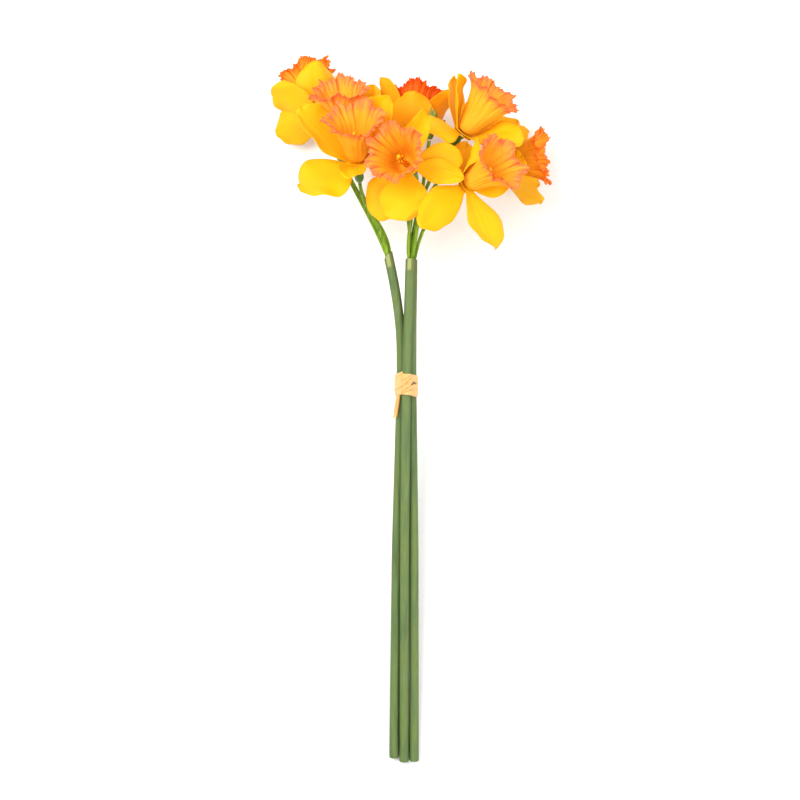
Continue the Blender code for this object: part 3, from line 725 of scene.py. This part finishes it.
def trumpet_silk(name, throat, tube, flare, rim, line):
    """Crinkled polyester silk, dip-dyed from the rim, with dye specks at the cut edge. The deeper orange in
    the creases is partly dye and partly painted shade in the pleats' hollows.
    """
    material, tree, surface = new_material(name)
    place = add_node(tree, "TexCoord").outputs["Object"]
    sheet = sheet_places(tree)
    crease = add_node(tree, "Attribute", attribute_name="crease", attribute_type="GEOMETRY")
    cloud = add_node(tree, "TexNoise", {"Vector": place, "Scale": 160.0, "Detail": 3.0})
    stray = add_node(tree, "MapRange", {"Value": cloud.outputs["Fac"], "To Min": -0.09, "To Max": 0.09})
    flat = stretched(tree, sheet, 46.0, 2.4)
    runs = add_node(tree, "TexNoise", {"Vector": flat, "Scale": 1.0, "Detail": 2.0})
    wick = add_node(tree, "MapRange", {"Value": runs.outputs["Fac"], "From Min": 0.25, "From Max": 0.75,
                                       "To Min": -0.13, "To Max": 0.13})
    reached = add_node(tree, "Math", {0: stray.outputs[0], 1: wick.outputs[0]}, operation="ADD")
    climb = add_node(tree, "Math", {0: sheet["Y"], 1: reached.outputs[0]}, operation="ADD")
    dye = add_node(tree, "ValToRGB", {"Fac": climb.outputs[0]},
                   stops=((0.05, throat), (0.95, rim), (0.3, tube), (0.66, tube), (0.82, flare)))
    # partly dye, partly painted shade: the deeper orange fills the pleats' hollows, more strongly towards the
    # rim
    deep = add_node(tree, "MapRange", {"Value": crease.outputs["Fac"], "From Min": 0.60, "From Max": 1.0})
    high = add_node(tree, "MapRange", {"Value": sheet["Y"], "From Min": 0.3, "From Max": 0.95,
                                       "To Min": 0.06, "To Max": 0.9})
    crease_shade_and_dye = add_node(tree, "Math", {0: deep.outputs[0], 1: high.outputs[0]}, operation="MULTIPLY")
    creased = add_node(tree, "Mix", {0: crease_shade_and_dye.outputs[0], 6: dye.outputs["Color"], 7: linear(line)},
                       data_type="RGBA")
    tight = add_node(tree, "TexNoise", {"Vector": flat, "Scale": 4.5, "Detail": 2.0})
    wrinkle = add_node(tree, "MapRange", {"Value": tight.outputs["Fac"], "From Min": 0.55, "From Max": 0.68})
    near_rim = add_node(tree, "MapRange",
                        {"Value": climb.outputs[0], "From Min": 0.84, "From Max": 1.0, "To Max": 0.75})
    specks = add_node(tree, "Math", {0: wrinkle.outputs[0], 1: near_rim.outputs[0]}, operation="MULTIPLY")
    dyed = add_node(tree, "Mix", {0: specks.outputs[0], 6: creased.outputs[2], 7: linear(line)},
                    data_type="RGBA")
    crinkle = add_node(tree, "TexNoise", {"Vector": place, "Scale": 1400.0, "Detail": 3.0})
    silk_sheen(tree, surface, dyed.outputs[2], crinkle.outputs["Fac"], 0.35, 0.0004, 0.3)
    return material


coral_silk = trumpet_silk("crinkled_silk_trumpet_coral",
                          "#FEC22C", "#FDC22E", "#FDAC42", "#FC8A50", "#F54C0C")
orange_silk = trumpet_silk("crinkled_silk_trumpet_orange",
                           "#FEC82A", "#FDC026", "#FBAA28", "#F98A28", "#F14E08")
red_silk = trumpet_silk("crinkled_silk_trumpet_red_orange",
                        "#F99416", "#F88416", "#F77214", "#F66212", "#E84006")
TRUMPET_SILKS = {"back_centre": red_silk, "far_right": orange_silk, "far_left": orange_silk}
for number, (name, (base, axis)) in enumerate(HEADS.items()):
    shell = trumpet_shell(1.7 * number)
    bmesh.ops.transform(shell, matrix=head_matrix(base, axis), verts=shell.verts)
    finish_piece(name + "_trumpet", shell, TRUMPET_SILKS.get(name, coral_silk),
                 [name + "_corona"], TRUMPET_WALL)


# ---- The stamens ----
# A moulded three-lobed style and six long anthers round it, flocked yellow, standing on the floor of each
# trumpet.

ANTHER_COUNT = 6
STYLE_PROFILE = ((4.2, 0.0), (4.2, 1.9), (5.0, 1.2), (7.0, 0.75), (12.0, 0.6), (19.0, 0.6), (21.5, 0.75),
                 (22.6, 1.15), (23.6, 1.25), (24.1, 0.9), (24.2, 0.0))
ANTHER_PROFILE = ((-3.6, 0.0), (-3.5, 0.25), (-3.1, 0.55), (-2.0, 0.8), (0.0, 0.85), (2.0, 0.8), (3.1, 0.55),
                  (3.5, 0.25), (3.6, 0.0))
FILAMENT_PROFILE = ((4.4, 0.0), (4.4, 0.3), (9.0, 0.3), (13.0, 0.28), (13.0, 0.0))


def flocked_yellow():
    """Flocked plastic: a soft matt yellow with a grainy surface like pollen."""
    material, tree, surface = new_material("flocked_plastic_stamen")
    place = add_node(tree, "TexCoord").outputs["Object"]
    grains = add_node(tree, "TexNoise", {"Vector": place, "Scale": 2500.0, "Detail": 1.0})
    tint = add_node(tree, "ValToRGB", {"Fac": grains.outputs["Fac"]},
                    stops=((0.35, "#EE9C06"), (0.65, "#FBC820")))
    coat(tree, surface, tint.outputs["Color"], grains.outputs["Fac"], 0.5, 0.0004,
         {"Roughness": 0.8, "IOR": 1.45})
    return material


stamen_yellow = flocked_yellow()
for number, (name, (base, axis)) in enumerate(HEADS.items()):
    shell = bmesh.new()
    add_spun(shell, 18, STYLE_PROFILE, 0.12)
    for count in range(ANTHER_COUNT):
        around = Matrix.Rotation(math.radians(360 / ANTHER_COUNT * count + 11 * number), 4, "Z")
        before = set(shell.verts)
        add_spun(shell, 12, ANTHER_PROFILE, 0.18, 2)
        anther = [v for v in shell.verts if v not in before]
        lean = Matrix.Rotation(math.radians(4), 4, "Y")
        stand = Matrix.Translation((1.75, 0.0, 14.6 + 0.9 * (count % 2))) @ lean
        bmesh.ops.transform(shell, matrix=around @ stand, verts=anther)
        before = set(shell.verts)
        add_spun(shell, 8, FILAMENT_PROFILE)
        filament = [v for v in shell.verts if v not in before]
        bmesh.ops.transform(shell, matrix=around @ Matrix.Translation((1.6, 0.0, 0.0)), verts=filament)
    bmesh.ops.transform(shell, matrix=head_matrix(base, axis), verts=shell.verts)
    finish_piece(name + "_anthers", shell, stamen_yellow, [name + "_stamens"])


# ---- The green bud ----
# A closed bud of green silk on plastic: a twisted core with two pointed bracts folded round it, dry and
# brownish at their tips.

BUD_PROFILE = ((0.0, 0.0), (0.0, 0.9), (0.4, 1.4), (2.0, 2.1), (4.5, 2.7), (8.0, 3.0), (12.0, 2.7),
               (15.5, 1.8), (18.0, 0.9), (19.4, 0.3), (19.8, 0.0))
BUD_TWIST = 0.09
BRACT_WALL = 0.3


def bract_silk():
    """Green silk, fresh at the foot, yellower further up and brown at the dry tip, with lengthwise veins."""
    material, tree, surface = new_material("green_silk_bract")
    sheet = sheet_places(tree)
    tint = add_node(tree, "ValToRGB", {"Fac": sheet["Y"]},
                    stops=((0.0, "#557A1A"), (1.0, "#8F7034"), (0.45, "#708F34"), (0.8, "#949C44")))
    run = add_node(tree, "Math", {0: sheet["X"], 1: 26.0}, operation="MULTIPLY")
    flat = add_node(tree, "CombineXYZ", {"X": run.outputs[0], "Y": sheet["Y"]})
    veins = add_node(tree, "TexNoise", {"Vector": flat.outputs[0], "Scale": 1.0, "Detail": 2.0})
    lined = add_node(tree, "Mix", {0: veins.outputs["Fac"], 6: tint.outputs["Color"], 7: linear("#4E6B14")},
                     data_type="RGBA")
    coat(tree, surface, lined.outputs[2], veins.outputs["Fac"], 0.4, 0.0003, {"Roughness": 0.5, "IOR": 1.45})
    return material


def add_bract(shell, turn, length, reach, spread, lean):
    """A pointed sheet wrapped round the core on one side, its tip leaning out."""

    facing = Vector((math.cos(math.radians(turn)), math.sin(math.radians(turn)), 0.0))

    def place(u, v):
        side = 2 * u - 1
        radius = eased(((0.0, 1.5), (0.12, 2.3), (0.4, reach), (0.7, reach * 0.8), (1.0, 1.2)), v)
        radius += 0.25 * abs(side) ** 2
        angle = math.radians(turn) + math.radians(spread * (1.0 - v ** 2.2) * side)
        around = Vector((radius * math.cos(angle), radius * math.sin(angle), 0.6 + length * v))
        return around + facing * lean * v ** 3

    add_sheet(shell, 18, 26, place)


shell = bmesh.new()
add_spun(shell, 30, BUD_PROFILE, 0.10, 2)
for vert in shell.verts:
    vert.co = Matrix.Rotation(vert.co.z * BUD_TWIST, 3, "Z") @ vert.co
leaves = bmesh.new()
add_bract(leaves, -60, 20.0, 3.45, 105.0, 0.6)
add_bract(leaves, 120, 17.5, 3.3, 95.0, 0.9)
bmesh.ops.solidify(leaves, geom=leaves.faces[:], thickness=BRACT_WALL)
spare = bpy.data.meshes.new("bracts")
leaves.to_mesh(spare)
leaves.free()
shell.from_mesh(spare)
bpy.data.meshes.remove(spare)
bmesh.ops.transform(shell, matrix=head_matrix(*BUD_HEAD), verts=shell.verts)
finish_piece("bud_and_bracts", shell, bract_silk(), ["green_bud"])


# ---- The raffia tie ----
# A flat ribbon of natural raffia wound round the three stems and pulled tight so that it creases. Its last
# turn is folded over on the left, and one short end is left lying along the left stem.

BAND_COLUMNS = 200
BAND_ROWS = 80
BAND_OUTSIDE = 0.8
BAND_CLEARANCE = 0.3
STRAND_EDGE = -8.4
# x and y of the band's upper and lower edge
BAND_HEAD = ((-14, 22.3), (-11, 22.7), (-9.0, 23.7), (STRAND_EDGE, 24.0), (-7.4, 22.4), (-2, 22.3),
             (1.4, 21.5), (4, 21.4))
BAND_FOOT = ((-14, 8.6), (-11.5, 8.3), (-8.4, 9.0), (-2.2, 8.4), (1, 7.3), (4, 7.2))


def band_outline(grow):
    """The tight loop round the three stems at the tie, as (x, z) points at even angles."""
    centres = [stem_centre(name, TIE_Y) for name in STEM_TOPS]
    middle = sum(centres, Vector()) / len(centres)
    points = []
    for n in range(BAND_COLUMNS):
        pair = []
        for angle in (2 * math.pi * n / BAND_COLUMNS, 2 * math.pi * (n + 1) / BAND_COLUMNS):
            out = Vector((math.cos(angle), 0.0, math.sin(angle)))
            pair.append((angle, max((c - middle).dot(out) for c in centres) + STEM_RADIUS + grow))
        (a, ra), (b, rb) = pair
        turn = math.sin(b - a)
        points.append(Vector(((ra * math.sin(b) - rb * math.sin(a)) / turn, 0.0,
                              (rb * math.cos(a) - ra * math.cos(b)) / turn)) + middle)
    return points


def raffia():
    """Dried palm leaf: straw coloured, papery, with fibres along the ribbon, with browner painted shade in
    the creases and near-black painted shade in the slit.
    """
    material, tree, surface = new_material("natural_raffia")
    fold = add_node(tree, "Attribute", attribute_name="crease", attribute_type="GEOMETRY")
    fibres = add_node(tree, "TexNoise",
                      {"Vector": stretched(tree, sheet_places(tree), 5.0, 60.0), "Scale": 1.0, "Detail": 3.0})
    straw = add_node(tree, "ValToRGB", {"Fac": fibres.outputs["Fac"]},
                     stops=((0.3, "#C99E58"), (0.7, "#DDB97A"), (0.5, "#D4AC66")))
    # painted shade: browner in the creases and on the shaded half of the loose end
    painted_crease_shade = add_node(tree, "MapRange",
                      {"Value": fold.outputs["Fac"], "From Min": 0.15, "From Max": 1.0, "To Max": 0.9})
    shaded = add_node(tree, "Mix", {0: painted_crease_shade.outputs[0], 6: straw.outputs["Color"], 7: linear("#BC7430")},
                      data_type="RGBA")
    # painted shade: near-black in the slit
    gap = add_node(tree, "MapRange", {"Value": fold.outputs["Fac"], "From Min": 1.0, "From Max": 1.5})
    creased = add_node(tree, "Mix", {0: gap.outputs[0], 6: shaded.outputs[2], 7: linear("#2E1808")},
                       data_type="RGBA")
    coat(tree, surface, creased.outputs[2], fibres.outputs["Fac"], 0.5, 0.0003,
         {"Roughness": 0.62, "IOR": 1.45, "Sheen Weight": 0.2})
    return material


raffia_straw = raffia()
inner_loop, outer_loop = band_outline(BAND_CLEARANCE), band_outline(1.2)
# creases on the side that shows: x and y of the start, x and y of the end, and how far each stands up. Each
# crease also gets a line of painted shade along one side.
FOLDS = ((-8.2, 9.6, -1.0, 12.6, 0.7), (-8.2, 10.2, 0.6, 17.6, 0.8), (-8.0, 14.0, -4.2, 16.8, 0.7),
         (-8.0, 18.0, -0.6, 22.2, 0.6), (-6.6, 16.4, -2.2, 19.4, 0.5), (-12.0, 12.0, -8.6, 14.0, 0.5),
         (-7.4, 8.6, 1.4, 8.4, 0.5), (-11.6, 19.6, -9.0, 21.8, 0.4))
SLIT = (-1.5, 15.6, 0.9, 16.9)
shell = bmesh.new()
shell.verts.layers.float.new("crease")
marks = {}


def line_reach(x, y, x0, y0, x1, y1):
    """How far a point lies to the left of a line, and off its ends."""
    along = Vector((x1 - x0, y1 - y0))
    away = Vector((x - x0, y - y0))
    share = away.dot(along) / along.length_squared
    beyond = max(-share, share - 1.0, 0.0) * along.length
    return (along.x * away.y - along.y * away.x) / along.length, beyond


def band_place(u, v):
    """The band goes up the outside, creased where it shows, and back down against the stems."""
    n = round(u * BAND_COLUMNS) % BAND_COLUMNS
    angle = 2 * math.pi * n / BAND_COLUMNS
    out = (outer_loop[n] - inner_loop[n]).normalized()
    x = outer_loop[n].x
    foot, head = between(BAND_FOOT, x), between(BAND_HEAD, x)
    if v > BAND_OUTSIDE:
        share = (v - BAND_OUTSIDE) / (1.0 - BAND_OUTSIDE)
        return inner_loop[n] + Vector((0.0, head + (foot - head) * share - TIE_Y, 0.0))
    share = v / BAND_OUTSIDE
    y = foot + (head - foot) * share
    round_mm = 8.0 * angle
    fold = noise.noise(Vector((0.10 * round_mm, 0.55 * (y + 0.16 * round_mm), 4.0)))
    height = 0.35 + 0.5 * fold + 0.3 * noise.noise(Vector((0.5 * round_mm, 0.7 * y, 9.0)))
    # painted shade in the hollows between the folds
    dark = max(-fold, 0.0) * 0.7
    if out.z > 0:
        strand = min(max((STRAND_EDGE + 0.3 * math.sin(y) - x) / 0.7, 0.0), 1.0)
        height += 0.9 * strand
        # painted shadow of the folded-over strand, cast on the band beside it
        dark = max(dark * (1 - strand), 0.55 * math.exp(-((x + 7.9) / 0.45) ** 2))
        for x0, y0, x1, y1, rise in FOLDS:
            left, beyond = line_reach(x, y, x0, y0, x1, y1)
            fade = math.exp(-(beyond / 0.8) ** 2) * (1 - strand if x0 > -8.5 else 1.0)
            height += rise * fade * math.exp(-((left - 0.5) / 0.55) ** 2)
            # painted shade along one side of each crease
            dark = max(dark, 0.85 * fade * math.exp(-((left + 0.25) / 0.35) ** 2))
        # the slit: sunk in, and filled near-black with painted shade
        left, beyond = line_reach(x, y, *SLIT)
        gap = math.exp(-(left / 0.5) ** 2 - (beyond / 0.4) ** 2)
        height -= 0.9 * gap
        dark += 2.4 * gap
    swell = math.sin(math.pi * min(max(share, 0.0), 1.0)) ** 0.4
    shown = 0.25 + 0.75 * abs(out.z) ** 0.7
    marks[(n, round(v * BAND_ROWS))] = dark
    rise = 0.3 + (0.25 + max(height, -0.1) * shown) * swell
    return inner_loop[n] + out * rise + Vector((0.0, y - TIE_Y, 0.0))


verts = add_sheet(shell, BAND_COLUMNS, BAND_ROWS, band_place)
keep_creases(shell, marks, BAND_COLUMNS, BAND_ROWS, 0.0)
bmesh.ops.remove_doubles(shell, verts=verts, dist=MERGE_GAP)
finish_piece("raffia_wrap", shell, raffia_straw, ["raffia_band"])


TAIL_START = 7.4
TAIL_LENGTH = 14.4
TAIL_WALL = 0.35


def tail_place(u, v):
    """The loose end lies along the left stem, a little curled across its width."""
    y = TIE_Y - TAIL_START - TAIL_LENGTH * v
    under = stem_centre("left", y)
    half = 1.45 - 0.15 * v
    x = under.x - 1.8 - 1.6 * v + half * (2 * u - 1)
    z = under.z + STEM_RADIUS + 1.9 - 0.9 * v + 0.45 * abs(2 * u - 1.1) + 0.25 * math.sin(5.0 * v + 3.0 * u)
    return Vector((x, y + 0.5 * u, z))


shell = bmesh.new()
crease = shell.verts.layers.float.new("crease")
for vert in add_sheet(shell, 12, 40, tail_place):
    # painted shade: the right half of the loose end, turned away from the key light, takes the browner crease
    # colour
    edge = stem_centre("left", vert.co.y).x - 1.3 - 0.11 * (TIE_Y - TAIL_START - vert.co.y)
    vert[crease] = 0.95 if vert.co.x > edge else 0.0
finish_piece("raffia_end", shell, raffia_straw, ["raffia_tail"], TAIL_WALL)


# ---- The studio ----
# A plain pale floor under the bunch, one broad soft light to the left and above, a weaker one to the right,
# and a camera that looks straight down.

floor_mesh = bpy.data.meshes.new("floor")
floor_shell = bmesh.new()
bmesh.ops.create_grid(floor_shell, x_segments=1, y_segments=1, size=4.0)
floor_shell.to_mesh(floor_mesh)
floor_shell.free()
floor = bpy.data.objects.new("floor", floor_mesh)
bpy.context.scene.collection.objects.link(floor)
paper, tree, surface = new_material("white_studio_paper")
fleck = add_node(tree, "TexNoise", {"Vector": add_node(tree, "TexCoord").outputs["Object"], "Scale": 90.0})
tone = add_node(tree, "ValToRGB", {"Fac": fleck.outputs["Fac"]}, stops=((0.3, "#EEEEEC"), (0.7, "#F1F1EF")))
matt = add_node(tree, "BsdfPrincipled", {"Base Color": tone.outputs["Color"], "Roughness": 0.9})
tree.links.new(matt.outputs["BSDF"], surface)
floor_mesh.materials.append(paper)

# name, place and width in metres, and power in watts
LIGHTS = (("key", (-0.75, 0.55, 1.5), 1.1, 27.0), ("fill", (0.9, -0.2, 1.2), 1.2, 11.0))
BUNCH_MIDDLE = Vector((0.0, 0.1, 0.03))
CAMERA_PLACE = Vector((-9.2, 5.4, 2318.0))
for name, place, size, power in LIGHTS:
    lamp = bpy.data.lights.new(name, "AREA")
    lamp.shape = "DISK"
    lamp.size = size
    lamp.energy = power
    light = bpy.data.objects.new(name, lamp)
    light.location = place
    light.rotation_euler = (BUNCH_MIDDLE - Vector(place)).to_track_quat("-Z", "Y").to_euler()
    bpy.context.scene.collection.objects.link(light)

world = bpy.data.worlds.new("soft_room")
world.use_nodes = True
world.node_tree.nodes["Background"].inputs["Color"].default_value = (1.0, 1.0, 1.0, 1.0)
world.node_tree.nodes["Background"].inputs["Strength"].default_value = 0.9
bpy.context.scene.world = world
bpy.context.scene.view_settings.view_transform = "Standard"

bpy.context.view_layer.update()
camera_data = bpy.data.cameras.new("overhead")
camera_data.lens = 160.0
camera_data.sensor_width = 36.0
camera_data.clip_end = 20.0
camera = bpy.data.objects.new("overhead", camera_data)
camera.location = TO_FRAME @ CAMERA_PLACE
bpy.context.scene.collection.objects.link(camera)
bpy.context.scene.camera = camera
